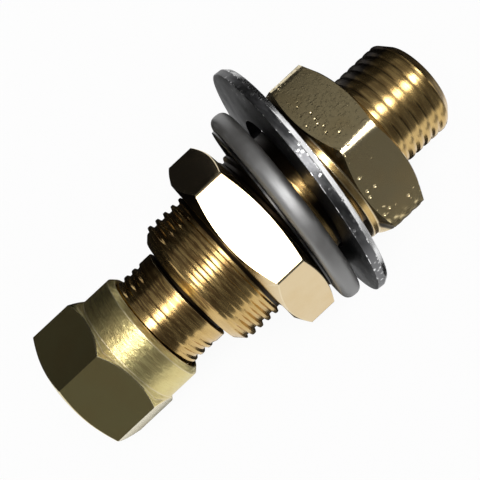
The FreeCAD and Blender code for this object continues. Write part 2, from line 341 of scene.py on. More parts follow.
# %% [markdown]
# ## Turned surfaces
# Everything on this object came off a lathe, so every piece is one profile carried round the axis. A
# Screw modifier could turn a curve, but a hexagon's radius changes round the turn and a thread climbs as
# it goes. So a row here is not one point of the profile but a whole turn of points, and a piece is a stack
# of rows: the surface is a function of the row and of the angle. Three more numbers ride along with each
# point for the finish: how worn an edge is, how much dirt and painted shade lies on it, and whether it is a
# flat.

# %% Rows
X, RADIUS, WORN, GROOVE, FLAT = range(5)


def six_corner_angles(turn, steps=36):
    """One turn whose angles crowd at six corners: in each sixth, 30 degrees times the sine of even steps."""
    even = np.linspace(-1.0, 1.0, steps + 1)[:-1]
    middles = turn + np.pi / 6 + np.arange(6) * np.pi / 3
    angles = (middles[:, None] + np.pi / 6 * np.sin(np.pi / 2 * even)).ravel()
    return np.append(angles, angles[0] + 2 * np.pi)


def row(theta, x, radius, worn=0.0, groove=0.0, flat=0.0):
    """One turn of the profile. Each value is a number or an array over the angles."""
    return np.stack(np.broadcast_arrays(x, radius, worn, groove, flat, theta)[:5], axis=-1).astype(float)


def turned_points(theta, rows):
    """Points in mm: x along the axis, and the radius at an angle from +Z towards -Y."""
    x, radius = rows[..., X], rows[..., RADIUS]
    return np.stack([x, -radius * np.sin(theta), radius * np.cos(theta)], axis=-1)


print("a hexagon's turn has", six_corner_angles(0.0).size, "angles")

# %% [markdown]
# ## Softened corners
# No real edge is sharp, and the thin bright line along a softened edge is what makes metal look solid. A
# Bevel modifier would round every edge of the mesh, the thread's too. Rounding the profile instead picks
# the corners one by one, and it can mark the middle of each bend as worn.

# %% Softened corners
SHORTEST_SHARE = 0.25
FLAT_KEEPER = 1.8


def softened(rows, reach, steps=4):
    """Round the corners between the first and last row.

    Each corner becomes a parabola that leaves one side and joins the other at reach from the corner, or
    at a quarter of a shorter side. One more row on each side, 1.8 times as far, keeps the flats flat. The
    middle of the parabola is marked as worn.
    """
    corner = rows[1:-1]

    def step_along(side, share):
        length = np.linalg.norm(side[..., :2], axis=-1, keepdims=True)
        part = np.minimum(reach / np.maximum(length, 1e-9), SHORTEST_SHARE) * share
        return corner + side * part

    before, after = rows[:-2] - corner, rows[2:] - corner
    t = np.linspace(0.0, 1.0, steps)[:, None, None, None]
    start, end = step_along(before, 1.0), step_along(after, 1.0)
    bends = (1 - t) ** 2 * start + 2 * t * (1 - t) * corner + t ** 2 * end
    bends[..., WORN] = np.maximum(bends[..., WORN], 4 * t[..., 0] * (1 - t[..., 0]))
    lead_in, lead_out = step_along(before, FLAT_KEEPER), step_along(after, FLAT_KEEPER)
    bends = np.concatenate([lead_in[None], bends, lead_out[None]])
    bends = np.moveaxis(bends, 0, 1).reshape(-1, *rows.shape[1:])
    return np.concatenate([rows[:1], bends, rows[-1:]])


corner_test = np.stack([row(np.zeros(1), x, r) for x, r in ((0, 0), (1, 0), (1, 1))])
print("one corner becomes", len(softened(corner_test, 0.1)) - 2, "rows")

# %% [markdown]
# ## From rows to a piece
# The grid of points becomes quads in one call. Its last column repeats the first, and its last row may
# repeat the first too, so doubles are merged to close the surface. The piece then rides on the body of its
# CAD node, takes that node's place and gets a material of its own.

# %% Mesh of a turned piece
WELD = 0.001 * MM
SHARP_ANGLE = math.radians(32.0)


def turned_piece(name, points, rows, node, material):
    """Join a grid of points into quads, weld its seams and put it on the body of its CAD node."""
    mesh = bpy.data.meshes.new(name)
    mesh.from_pydata((points.reshape(-1, 3) * MM).tolist(), [], grid_quads(*points.shape[:2]))
    for channel, carried in ((WORN, "worn"), (GROOVE, "groove"), (FLAT, "flat")):
        layer = mesh.attributes.new(carried, "FLOAT", "POINT")
        layer.data.foreach_set("value", rows[..., channel].ravel().astype(np.float32))
    welded = bmesh.new()
    welded.from_mesh(mesh)
    bmesh.ops.remove_doubles(welded, verts=welded.verts, dist=WELD)
    bmesh.ops.dissolve_degenerate(welded, edges=welded.edges, dist=WELD / 10)
    open_edges = sum(not edge.is_manifold for edge in welded.edges)
    welded.to_mesh(mesh)
    welded.free()
    mesh.polygons.foreach_set("use_smooth", np.ones(len(mesh.polygons), bool))
    mesh.set_sharp_from_angle(angle=SHARP_ANGLE)
    mesh.materials.append(material)
    piece = bpy.data.objects.new(name, mesh)
    bpy.context.scene.collection.objects.link(piece)
    body = next(b for b, nodes in frame["record"]["behaviour"]["bodies"].items() if node in nodes)
    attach(piece, body)
    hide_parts(node)
    print(f"{name}: {len(mesh.polygons)} faces, {open_edges} open edges, on {body}")


print(f"points closer than {WELD / MM} mm are merged")

# %% [markdown]
# ## Hexagons
# A hexagon is a radius that rises to six corners. Its bevels are cones, and a cone meets a flat along a
# curve. A Boolean could cut that curve, but a row can simply follow it: where the hexagon's radius is
# larger, the row lies further from the end.

# %% Hexagon rows
WORN_FADE = 1.6
LEAST_FLAT = 0.01


def hexagon_radius(theta, turn, across_flats, corner_flat):
    """Radius of a hexagon whose corners are worn to small flats, and how worn each angle is.

    At phi from the nearest corner a side lies at half the width over cos(30 - phi). The worn flat is
    corner_flat wide, square to the corner, and lies at its own distance over cos(phi). The smaller wins.
    The wear is 1 on the inner part of the flat and dies out at WORN_FADE times its half width.
    """
    phi = np.abs((theta - turn + np.pi / 6) % (np.pi / 3) - np.pi / 6)
    side = across_flats / 2 / np.cos(np.pi / 6 - phi)
    worn_at = across_flats / 2 / math.cos(np.pi / 6) - corner_flat / 2 * math.tan(np.pi / 6)
    worn = np.clip(WORN_FADE - phi * side / np.maximum(corner_flat / 2, LEAST_FLAT), 0.0, 1.0)
    return np.minimum(side, worn_at / np.cos(phi)), worn


def bevel_row(theta, hexagon, worn, end, face_r, angle, inward):
    """Where a cone from face_r at the end meets the hexagon: x moves in by the rise times tan(angle)."""
    depth = (hexagon - face_r) * math.tan(math.radians(angle))
    return row(theta, end + inward * depth, hexagon, worn, 0.0, 1.0)


print(f"a hexagon 20 wide is {2 * hexagon_radius(np.zeros(1), 0.0, 20.0, 0.0)[0][0]:.2f} over its corners")

# %% [markdown]
# ## Threads
# A thread could be a bump pattern, but its teeth show in the outline. Here the rows of a thread climb along
# the helix, one pitch each turn, so crests and roots stay clean edges. All threads share one helix counted
# from x = 0, which is why a nut that turns and travels together stays in mesh. The cut threads have flat
# crests and roots, and the male thread is rounder, as if rolled.

# %% Thread rows
PITCH = 1.5
TOOTH_PHASE = np.array([0.0, 0.08, 0.15, 0.20, 0.28, 0.35, 0.5, 0.65, 0.72, 0.80, 0.85, 0.92])
CUT_TOOTH = np.array([0.0, 0.0, 0.04, 0.25, 0.8, 1.0, 1.0, 1.0, 0.8, 0.25, 0.04, 0.0])
ROLLED_TOOTH = (0.5 - 0.5 * np.cos(2 * np.pi * TOOTH_PHASE)) ** 2
NO_FADE = 0.01


def ramp(value, start, end):
    """A straight step: 0 before start, 1 past end. With start above end it falls instead."""
    return np.clip((value - start) / (end - start), 0, 1)


def thread_rows(theta, start, end, crest_r, depth, fade=(NO_FADE, NO_FADE), tooth=CUT_TOOTH, dirt_and_shade=1.0):
    """Rows that climb one pitch a turn, held between start and end.

    A row of phase f lies at x = (f + theta / 360 deg) * PITCH. The radius is the crest less depth times
    the tooth's share at that phase, and fade gives the lengths over which the groove dies out at the ends.
    depth and dirt may differ round the turn. dirt is how much of the groove the finish may fill.
    """
    turn_share = theta / (2 * np.pi)
    first = math.floor(start / PITCH - turn_share.max()) - 1
    last = math.ceil(end / PITCH - turn_share.min()) + 1
    phase = (np.arange(first, last)[:, None] + TOOTH_PHASE).ravel()[:, None]
    x = np.clip((phase + turn_share) * PITCH, start, end)
    inside = (x.max(axis=1) > start) & (x.min(axis=1) < end)
    x = np.concatenate([np.full((1, theta.size), start), x[inside], np.full((1, theta.size), end)])
    groove = np.interp(x / PITCH - turn_share, TOOTH_PHASE, tooth, period=1.0)
    groove = groove * ramp(x, start, start + fade[0]) * ramp(x, end, end - fade[1])
    return row(theta, x, crest_r - depth * groove, 0.0, groove * dirt_and_shade)


def under_cone(rows, x, radius):
    """Trim rows to a 45 degree cone that has this radius at x and widens away from it, as a lead does."""
    trimmed = rows.copy()
    trimmed[..., RADIUS] = np.minimum(rows[..., RADIUS], radius + np.abs(rows[..., X] - x))
    return trimmed


print("thread pitch", PITCH, "mm,", TOOTH_PHASE.size, "rows a turn")

# %% [markdown]
# ## Patterns for the finishes
# The finishes below are made of a few patterns: soft noise, noise that is stretched round the axis as a
# lathe tool leaves it, and scattered specks. All of them read object coordinates in millimetres, so they
# have a real size and never slide when a piece moves. Painted pictures could do this too, but a pattern has
# no seams and no limit when the camera comes close.

# %% Patterns
SPECK_CORE = 0.3
SPECK_PATCHES = 0.31


def new_finish(name):
    """An empty material and the object's own coordinates in millimetres."""
    material, pen = empty_material(name)
    place = pen.node("ShaderNodeTexCoord", output="Object")
    place = pen.node("ShaderNodeVectorMath", {"operation": "SCALE"}, {0: place, "Scale": 1 / MM})
    return material, pen, place


def stretched(place, along, around):
    """The place scaled by along on the axis and by around across it."""
    scale = (along, around, around)
    return place.node("ShaderNodeVectorMath", {"operation": "MULTIPLY"}, {0: place, 1: scale})


def coordinate(place, axis):
    """One of the place's coordinates, in millimetres."""
    return place.node("ShaderNodeSeparateXYZ", sockets={0: place}, output=axis)


def noise(place, scale=1.0, detail=2.0, roughness=0.5):
    """Soft noise from 0 to 1, with scale features in a millimetre."""
    sockets = {"Vector": place, "Scale": scale, "Detail": detail, "Roughness": roughness}
    return place.node("ShaderNodeTexNoise", {"noise_dimensions": "3D"}, sockets)


def pits(place, scale, size):
    """1 in the middle of scattered specks: near the points of a Voronoi pattern, where noise allows."""
    sockets = {"Vector": place, "Scale": scale, "Randomness": 1.0}
    speck = place.node("ShaderNodeTexVoronoi", {"feature": "F1"}, sockets, output="Distance")
    allowed = noise(place, scale * SPECK_PATCHES, 1.0).rise(0.47, 0.58)
    return speck.rise(size, size * SPECK_CORE) * allowed


def mark(pen, name):
    """One of the numbers that ride along with each point."""
    return pen.node("ShaderNodeAttribute", {"attribute_name": name}, output="Fac")


def bump(height, depth_mm, normal=None):
    """Tilt the surface by a height whose full range is depth_mm."""
    sockets = {"Height": height, "Distance": depth_mm * MM, "Strength": 1.0}
    if normal is not None:
        sockets["Normal"] = normal
    return height.node("ShaderNodeBump", sockets=sockets)


def close_finish(material, pen, sockets):
    """Feed the main shader and finish the material."""
    shader = pen.node("ShaderNodeBsdfPrincipled", sockets=sockets)
    pen.node("ShaderNodeOutputMaterial", sockets={"Surface": shader})
    print("finish:", material.name, len(material.node_tree.nodes), "nodes")
    return material


print("patterns count in millimetres")

# %% [markdown]
# ## Brass
# Brass is a metal with a yellow reflection, so it is Metallic 1 and its colour is the tint of what it
# mirrors. What makes it real is the rest: fine rings from the lathe tool, a brown film in streaks round the
# axis, bright rubbed edges, grime in the grooves, and pits and flecks where a spanner or a floor has knocked
# the flats. The film is painted thinner on the -Y side, as painted light where that side mirrors the floor,
# and the groove mark adds painted shade in gaps and on the +Y sides. The skirt of the compression nut has
# lost its rings to short scuffs. One function makes all of it, and each piece of brass sets the shares.

# %% Brass finishes
BRASS = (0.76, 0.66, 0.30)
BRASS_WARM = (0.64, 0.44, 0.17)
BRASS_BROWN = (0.22, 0.125, 0.045)
BRASS_RUBBED = (0.92, 0.82, 0.58)
BRASS_PINK = (0.72, 0.57, 0.34)
BRASS_WORN = (0.80, 0.66, 0.37)
GRIME_AND_SHADE = (0.014, 0.009, 0.005)
# Where a mark starts and where it is full, in mm: the first three along y, the others along x.
LOWER_CORNER = (-8.4, -11.0)
UPPER_FLAT = (-1.8, 0.2)
# The -Y side, where the film is painted thinner as painted light: that side mirrors the floor.
PAINTED_LIGHT_SIDE = (-3.0, -5.8)
WALL_EDGE = (5.6, 3.0)
MALE_END = (8.4, 9.4)


def brass_finish(name, base, flat_rough, turned_rough, warm, film, pitted=0.0, scuffed=0.0):
    """Brass from the lathe: turned all over but for the drawn flats of its hexagon.

    Turned surfaces are warm and streaked round the axis; the flats are smooth, with pits and flecks.
    Grooves hold grime and painted shade, and the film is painted thinner on the -Y side as painted light.
    Edges are rubbed bright. Each share goes from 0, none, to 1.
    """
    material, pen, place = new_finish(name)
    x, y = coordinate(place, "X"), coordinate(place, "Y")
    flat, worn = mark(pen, "flat"), mark(pen, "worn")
    lathe = 1 - flat

    rings = noise(stretched(place, 4.5, 0.12), detail=4.0, roughness=0.65)
    smear = noise(stretched(place, 2.2, 0.30), detail=3.0, roughness=0.6)
    scuff = noise(stretched(place, 4.4, 0.8), detail=2.5, roughness=0.6)
    cloud = noise(place, 0.22, detail=3.0).rise(0.35, 0.75)
    satin = noise(place, 9.0)
    dents = pits(place, 1.15, 0.3) * x.rise(*WALL_EDGE).larger(y.rise(*LOWER_CORNER)) * flat * pitted
    flecks = noise(place, 1.7, detail=5.0, roughness=0.65).rise(0.50, 0.72)
    flecks = flecks * y.rise(*UPPER_FLAT) * flat * pitted
    streak = (rings * 0.4 + smear * 0.6).rise(0.42, 0.56) * lathe * film
    # Less film on the male end, and the film painted thinner on the -Y side as painted light.
    streak = streak * (1 - x.rise(*MALE_END) * 0.35) * (1 - y.rise(*PAINTED_LIGHT_SIDE) * 0.85)
    # The groove mark darkens the colour: grime in the thread roots, and painted shade in the gaps and on the
    # +Y sides.
    grime_and_shade = (mark(pen, "groove") * 1.2 - noise(place, 0.6) * 0.35).rise(0.1, 0.9)

    colour = (lathe * warm + cloud * 0.3).tint(base, BRASS_WARM)
    colour = streak.tint(colour, BRASS_BROWN)
    colour = grime_and_shade.tint(colour, GRIME_AND_SHADE)
    colour = (worn * 0.6 * (1 - grime_and_shade)).tint(colour, BRASS_RUBBED)
    rough = flat_rough + lathe * (turned_rough - flat_rough) + rings * 0.08 * lathe
    rough = rough + cloud * 0.04 + satin * 0.05 + worn * 0.10 + flecks * 0.12 + grime_and_shade * 0.2
    grain = rings * (1 - scuffed) + scuff * scuffed
    normal = bump(grain * lathe, 0.012 + 0.18 * scuffed)
    normal = bump(satin, 0.0015, normal)
    normal = bump(1 - dents, 0.12, normal)
    normal = bump(flecks, 0.014, normal)
    return close_finish(material, pen, {
        "Base Color": colour, "Roughness": rough, "Normal": normal, "Metallic": 1.0})


body_brass = brass_finish("satin_turned_brass", BRASS_WORN, 0.15, 0.15, warm=0.9, film=0.88, pitted=1.0)
lock_brass = brass_finish("bright_drawn_brass", BRASS_PINK, 0.10, 0.20, warm=0.3, film=0.3)
cap_brass = brass_finish("bright_turned_brass", BRASS, 0.12, 0.29, warm=0.0, film=0.34, scuffed=0.8)
olive_brass = brass_finish("soft_turned_brass", BRASS, 0.16, 0.25, warm=0.3, film=0.2)

# %% [markdown]
# ## The body
# The body is one bar: compression thread, plain neck, shank thread, run-out groove, round collar, hexagon
# and male thread, and then back through the bore with its lip, stop, socket and cone mouth. The rows go out
# along the outside and return inside, so the last row meets the first and the surface is closed. Only the
# two ends come from the frame: the other sizes are those of the real thing, in millimetres.

# %% Body sizes
body_low, body_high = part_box("connector_body")
BODY_LEFT, BODY_RIGHT = body_low.x / MM, body_high.x / MM
HEX_TURN, HEX_STEPS = math.radians(1.0), 28
HEX_ACROSS, HEX_LENGTH, HEX_FACE_R, HEX_BEVEL = 25.4, 7.9, 12.2, 30.0
HEX_CORNER_FLATS = np.array([1.3, 0.4, 0.5, 0.5, 0.6, 1.3])
WALL_SIDE_SHARE = 0.6
COLLAR_R, COLLAR_LENGTH = 12.5, 1.1
MALE_R, MALE_LEAD, MALE_DEPTH = 8.0, 1.4, 0.2
SHANK_R, SHANK_LENGTH, SHANK_LEAD, SHANK_DEPTH = 11.0, 24.6, 1.5, 0.62
RUN_OUT_R, RUN_OUT_LENGTH, RUN_OUT_SLOPE, RUN_OUT_RISE = 9.9, 5.2, 1.1, 0.44
NECK_LENGTH, UNDERCUT_R, UNDERCUT_WIDTH, UNDERCUT_SIDE = 2.3, 7.0, 0.75, 0.15
COMP_R, COMP_LEAD, COMP_DEPTH = 8.0, 0.8, 0.42
MOUTH_R, SOCKET_R, SOCKET_STOP, MOUTH_END = 6.25, 5.1, -25.59, -33.59
WATERWAY_R, WATERWAY_LIP = 4.0, 0.6

theta = six_corner_angles(HEX_TURN, HEX_STEPS)
hex_end = COLLAR_LENGTH + HEX_LENGTH
neck_start = -SHANK_LENGTH - NECK_LENGTH
shank_end = -RUN_OUT_LENGTH - RUN_OUT_SLOPE
print(f"body from {BODY_LEFT:.1f} to {BODY_RIGHT:.1f} mm, {theta.size} angles a turn")

# %% [markdown]
# ## The three threads
# The threads show their teeth at the sides but look almost smooth on top, as if they had been gripped in a
# vice. So their depth differs round the turn: a share is left at the top and bottom, and the sides are
# full. The male thread's grooves hold dirt and painted shade, darker on the sides and painted lighter
# along the top, where the highlight lies, and on the -Y side, which mirrors the floor.

# %% Threads of the body
GRIP_LEFT, MALE_GRIP_LEFT = 0.2, 0.3
GRIP_EDGE, GRIP_END = 0.55, 0.9
THREAD_DIRT = 0.12
COMP_FADE, MALE_FADE = 1.2, 1.0
# Dirt in the male thread's grooves round the turn, with painted light: less dark along the top, where the
# highlight lies, and on the -Y side, which mirrors the floor.
MALE_SHADE_ANGLES = (-60, -16, -5, 7, 18, 34, 44, 80, 120)
MALE_DIRT_AND_SHADE = (0.75, 0.75, 0.3, 0.3, 0.8, 0.75, 0.25, 0.25, 0.6)


def gripped(theta, left):
    """Share of a thread's depth round the turn: left at the top and bottom, 1 at the sides.

    It follows the sine of the angle, with a smooth step from GRIP_EDGE to GRIP_END.
    """
    side = ramp(np.abs(np.sin(theta)), GRIP_EDGE, GRIP_END)
    return left + (1 - left) * side ** 2 * (3 - 2 * side)


def signed_degrees(theta):
    """The angle from the top in degrees, from -180 to 180: positive on the -Y side."""
    return (np.degrees(theta) + 180) % 360 - 180


degrees = signed_degrees(theta)
comp_thread = thread_rows(
    theta, BODY_LEFT, neck_start, COMP_R, COMP_DEPTH * gripped(theta, GRIP_LEFT),
    fade=(NO_FADE, COMP_FADE), dirt_and_shade=THREAD_DIRT)
comp_thread = under_cone(comp_thread, BODY_LEFT, COMP_R - COMP_LEAD)
shank_thread = thread_rows(
    theta, -SHANK_LENGTH, shank_end, SHANK_R, SHANK_DEPTH * gripped(theta, GRIP_LEFT), dirt_and_shade=THREAD_DIRT)
shank_thread = under_cone(shank_thread, -SHANK_LENGTH, SHANK_R - SHANK_LEAD)
male_thread = thread_rows(
    theta, hex_end, BODY_RIGHT, MALE_R, MALE_DEPTH * gripped(theta, MALE_GRIP_LEFT),
    fade=(MALE_FADE, NO_FADE), tooth=ROLLED_TOOTH, dirt_and_shade=np.interp(degrees, MALE_SHADE_ANGLES, MALE_DIRT_AND_SHADE))
male_thread = under_cone(male_thread, BODY_RIGHT, MALE_R - MALE_LEAD)
print("thread rows:", len(comp_thread), len(shank_thread), len(male_thread))

# %% [markdown]
# ## Neck, collar and hexagon
# Between the threads lie a plain neck with a narrow undercut, which the photo shows as a black line and
# which is painted black as shade, and the run-out groove under the loose rings. The corners of the hexagon
# are worn to small flats, wider where the photo shows more wear and narrower on the side of the wall.

# %% Neck, collar and hexagon
def between(first, last, count):
    """Rows from first to last in equal steps, both included."""
    t = np.linspace(0.0, 1.0, count)[:, None, None]
    return (1 - t) * first + t * last


nearest_corner = np.round((theta - HEX_TURN) / (np.pi / 3)).astype(int) % 6
corner_flats = HEX_CORNER_FLATS[nearest_corner]
hexagon, hex_worn = hexagon_radius(theta, HEX_TURN, HEX_ACROSS, corner_flats)
wall_hexagon, wall_worn = hexagon_radius(theta, HEX_TURN, HEX_ACROSS, corner_flats * WALL_SIDE_SHARE)
wall_bevel = bevel_row(theta, wall_hexagon, wall_worn, COLLAR_LENGTH, COLLAR_R, HEX_BEVEL, 1)
end_bevel = bevel_row(theta, hexagon, hex_worn, hex_end, HEX_FACE_R, HEX_BEVEL, -1)

neck = softened(np.stack([
    row(theta, neck_start, COMP_R),
    row(theta, -SHANK_LENGTH - UNDERCUT_WIDTH - UNDERCUT_SIDE, COMP_R),
    # The undercut's groove mark of 1 paints it black as shade.
    row(theta, -SHANK_LENGTH - UNDERCUT_WIDTH, UNDERCUT_R, groove=1.0),
    row(theta, -SHANK_LENGTH, UNDERCUT_R, groove=1.0),
    row(theta, -SHANK_LENGTH, SHANK_R - SHANK_LEAD)]), reach=0.1)
run_out = softened(np.stack([
    row(theta, shank_end, RUN_OUT_R + RUN_OUT_RISE),
    row(theta, -RUN_OUT_LENGTH, RUN_OUT_R),
    row(theta, -RUN_OUT_LENGTH + 0.3, RUN_OUT_R)]), reach=0.2)
groove_floor = between(row(theta, -RUN_OUT_LENGTH + 0.4, RUN_OUT_R), row(theta, -0.4, RUN_OUT_R), 16)
collar = softened(np.stack([
    row(theta, -0.3, RUN_OUT_R),
    row(theta, 0.0, RUN_OUT_R),
    row(theta, 0.0, COLLAR_R),
    row(theta, COLLAR_LENGTH, COLLAR_R),
    wall_bevel]), reach=0.22)
flats = between(wall_bevel, end_bevel, 26)[1:-1]
far_bevel = softened(np.stack([
    end_bevel,
    row(theta, hex_end, HEX_FACE_R),
    row(theta, hex_end, MALE_R + 0.5)]), reach=0.2)
print(f"hexagon {hexagon.max() * 2:.1f} mm over its largest corners")

# %% [markdown]
# ## The bore and the whole profile
# The bore comes back from the male end: a lip, the waterway, the stop for the pipe, the socket and the cone
# mouth that the olive seals in. All rows are then put in order, from the mouth round to the mouth again.

# %% Bore and profile
bore = softened(np.stack([
    row(theta, BODY_RIGHT, MALE_R - MALE_LEAD),
    row(theta, BODY_RIGHT, WATERWAY_R + WATERWAY_LIP),
    row(theta, BODY_RIGHT - WATERWAY_LIP, WATERWAY_R),
    row(theta, SOCKET_STOP, WATERWAY_R),
    row(theta, SOCKET_STOP, SOCKET_R),
    row(theta, MOUTH_END, SOCKET_R),
    row(theta, BODY_LEFT, MOUTH_R)]), reach=0.15)
end_face = np.stack([row(theta, BODY_LEFT, MOUTH_R), row(theta, BODY_LEFT, COMP_R - COMP_LEAD)])
body_rows = np.concatenate([
    end_face, comp_thread, neck, shank_thread, run_out, groove_floor, collar, flats, far_bevel,
    male_thread, bore])
body_x, body_r = body_rows[..., X], body_rows[..., RADIUS]
print("body rows:", len(body_rows))

# %% [markdown]
# ## Painted shade on the body
# The gap under the loose rings and the thread against the lock nut are painted dark as shade. One line
# round the groove beside the washer is left unshaded, and so is the top of that groove, where the lamp's
# highlight falls, which gives the gold glint between the rings. More painted shade lies on the +Y side of
# the collar, on the lower corner of the hexagon, and on the lead and the +Y side of the male thread. Each
# patch is a product of ramps along the axis and round the turn, and the largest wins.

# %% Painted shade
def bell(value, middle, width, power=2):
    """A bell: 1 at the middle, falling as exp(-(distance / width) ** power)."""
    return np.exp(-((value - middle) / width) ** power)


# Places along the axis are in mm. Angles are in degrees from the top, positive on the -Y side.
OUTSIDE_R = WATERWAY_R + 2
outside = body_r > OUTSIDE_R
turned = body_rows[..., FLAT] < 0.5
# Painted shade fills the gap under the loose rings, but for one line and the top of the groove, where the
# lamp's highlight falls.
under_rings = ramp(body_x, -9.9, -9.5) * ramp(body_x, -0.2, -0.4) * (body_r < COLLAR_R - 1)
unshaded_line = 0.9 * bell(body_x, -4.75, 0.28)
unshaded_top = 0.75 * bell(degrees, 2, 11) * ramp(body_x, -6.6, -6.0)
shade_in_the_groove = under_rings * (1 - unshaded_line) * (1 - unshaded_top)
# Painted shade against the lock nut, on the +Y side of the collar, on the hexagon's lower corner and on the
# lead and +Y side of the male thread.
shade_by_the_nut = bell(body_x, -16.8, 0.4, 4)
upper_left = ramp(degrees, -8, -23) * (degrees > -110)
shade_on_collar = ramp(body_x, -0.3, -0.1) * ramp(body_x, 2.6, 2.1) * turned * upper_left
on_hexagon = ramp(body_x, COLLAR_LENGTH - 0.3, COLLAR_LENGTH) * (body_x < hex_end - 0.05)
shade_on_lower_corner = 0.75 * bell(degrees, 63, 5, 4) * on_hexagon
male_lead_start = BODY_RIGHT - MALE_LEAD
shade_on_male_lead = 0.6 * ramp(body_x, male_lead_start, male_lead_start + 0.5) * ramp(degrees, 30, 5)
shade_on_male_side = 0.85 * (body_x > hex_end) * ramp(degrees, -30, -52) * (degrees > -130)
dirt_and_shade = np.maximum.reduce([
    shade_in_the_groove, shade_by_the_nut, shade_on_collar, shade_on_lower_corner, shade_on_male_lead, shade_on_male_side])
body_rows[..., GROOVE] = np.maximum(body_rows[..., GROOVE], dirt_and_shade * outside)
print(f"dirt on {100 * (dirt_and_shade * outside > 0.5).mean():.0f} % of the body's points")

# %% [markdown]
# ## Knocks on the hexagon
# The hexagon has been dropped and gripped, most of all on its lower corner. A knock is a small hollow: the
# radius falls by a bell curve round its middle, and all knocks are added at once as one array. Sculpting
# them by hand would look as good, but a list says where they are and can be changed.

# %% Knocks and the body mesh
# Each knock: place along the axis in mm, angle in degrees, width and depth in mm.
KNOCKS = np.array([
    (1.9, 57.0, 0.40, 0.30), (2.5, 62.5, 0.34, 0.32), (3.2, 58.0, 0.30, 0.18), (3.9, 60.5, 0.42, 0.24),
    (4.9, 57.5, 0.26, 0.14), (5.6, 61.5, 0.34, 0.22), (6.7, 59.0, 0.28, 0.16), (7.4, 62.0, 0.36, 0.25),
    (1.7, 51.0, 0.34, 0.22), (2.2, 4.0, 0.30, 0.14), (2.0, -5.0, 0.36, 0.20), (2.6, -2.0, 0.26, 0.14),
    (1.9, 11.0, 0.30, 0.14), (2.1, -12.0, 0.30, 0.16), (8.4, 1.0, 0.36, 0.18), (1.9, -57.0, 0.40, 0.22)])
KNOCKED_R = COLLAR_R - 0.6
knock_x, knock_angle, knock_width, knock_depth = KNOCKS.T[:, :, None, None]
away_round = (theta - np.radians(knock_angle) + np.pi) % (2 * np.pi) - np.pi
away = ((body_x - knock_x) ** 2 + (away_round * body_r) ** 2) / knock_width ** 2
hollows = (knock_depth * np.exp(-2 * away) * (body_r > KNOCKED_R)).sum(axis=0)
body_rows[..., RADIUS] = body_r - hollows
print(f"{len(KNOCKS)} knocks, the deepest {hollows.max():.2f} mm")
turned_piece("brass_body", turned_points(theta, body_rows), body_rows,
             "connector_body", body_brass)

# %% [markdown]
# ## The lock nut
# A plain hexagon nut, cut from drawn bar with bright flats and bevelled at both ends. Its bore carries the
# same helix as the shank, a little wider, so that the nut stays in mesh as it turns. Its outer bevel is
# painted dark as shade on its top and +Y side, and one more row just outside the edge keeps that shade off
# the flats.

# %% Lock nut
lock_low, lock_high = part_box("lock_nut")
LOCK_LEFT, LOCK_RIGHT = lock_low.x / MM, lock_high.x / MM
LOCK_TURN = math.radians(26.6)
LOCK_ACROSS, LOCK_CORNER_FLAT, LOCK_FACE_R = 27.0, 0.22, 13.2
LOCK_OUTER_BEVEL, LOCK_INNER_BEVEL = 33.0, 22.0
NUT_MESH_GAP = 0.12
LOCK_LEAD = 0.5
BEVEL_SHADE_EDGE = 0.05


def over_cone(rows, x, radius):
    """Open rows of a bore to a 45 degree cone that has this radius at x and narrows away from it."""
    opened = rows.copy()
    opened[..., RADIUS] = np.maximum(rows[..., RADIUS], radius - np.abs(rows[..., X] - x))
    return opened


theta = six_corner_angles(LOCK_TURN)
degrees = signed_degrees(theta)
hexagon, hex_worn = hexagon_radius(theta, LOCK_TURN, LOCK_ACROSS, LOCK_CORNER_FLAT)
bore_r = SHANK_R + NUT_MESH_GAP
mouth_r = bore_r + LOCK_LEAD
# The top and +Y side of the outer bevel are painted dark as shade.
bevel_shade = 0.9 * ramp(degrees, 16, 6) * (degrees > -150)
outer_edge = bevel_row(theta, hexagon, hex_worn, LOCK_LEFT, LOCK_FACE_R, LOCK_OUTER_BEVEL, 1)
lock_outside = softened(np.stack([
    row(theta, LOCK_LEFT, mouth_r),
    row(theta, LOCK_LEFT, LOCK_FACE_R, groove=bevel_shade),
    row(theta, outer_edge[:, X] - BEVEL_SHADE_EDGE, hexagon, hex_worn, bevel_shade, 1.0),
    outer_edge,
    bevel_row(theta, hexagon, hex_worn, LOCK_RIGHT, LOCK_FACE_R, LOCK_INNER_BEVEL, -1),
    row(theta, LOCK_RIGHT, LOCK_FACE_R),
    row(theta, LOCK_RIGHT, mouth_r)]), reach=0.10)
lock_bore = thread_rows(theta, LOCK_LEFT, LOCK_RIGHT, bore_r, SHANK_DEPTH * GRIP_LEFT)
lock_bore = over_cone(over_cone(lock_bore, LOCK_LEFT, mouth_r), LOCK_RIGHT, mouth_r)[::-1]
lock_rows = np.concatenate([lock_outside, lock_bore])
turned_piece("brass_lock_nut", turned_points(theta, lock_rows), lock_rows,
             "lock_nut", lock_brass)

# %% [markdown]
# ## The compression nut
# The compression nut is a hexagon that a sloping shoulder brings down to a round skirt. The shoulder is a
# little hollow, as a round-nosed tool leaves it, which gives the soft light above the corners. Inside, the
# nut has a thread, a tapered seat for the olive and the hole for the pipe.

# %% Compression nut
cap_low, cap_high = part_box("compression_nut")
CAP_LEFT, CAP_RIGHT = cap_low.x / MM, cap_high.x / MM
CAP_TURN = math.radians(-11.0)
CAP_ACROSS, CAP_CORNER_FLAT, CAP_WEAR = 19.0, 0.0, 0.2
CAP_FACE_R, CAP_BEVEL = 8.9, 24.0
CAP_SHOULDER, CAP_SHOULDER_ANGLE = CAP_LEFT + 8.85, 36.0
SHOULDER_HOLLOW, HOLLOW_MIDDLE = 0.3, 0.45
SKIRT_R, SKIRT_CHAMFER = 9.375, 0.7
CAP_LEAD, CAP_FADE = 0.35, 1.5
CAP_SEAT, SEAT_END = CAP_LEFT + 3.6, CAP_LEFT + 0.69
SEAT_R, HOLE_R = 6.3, 5.2

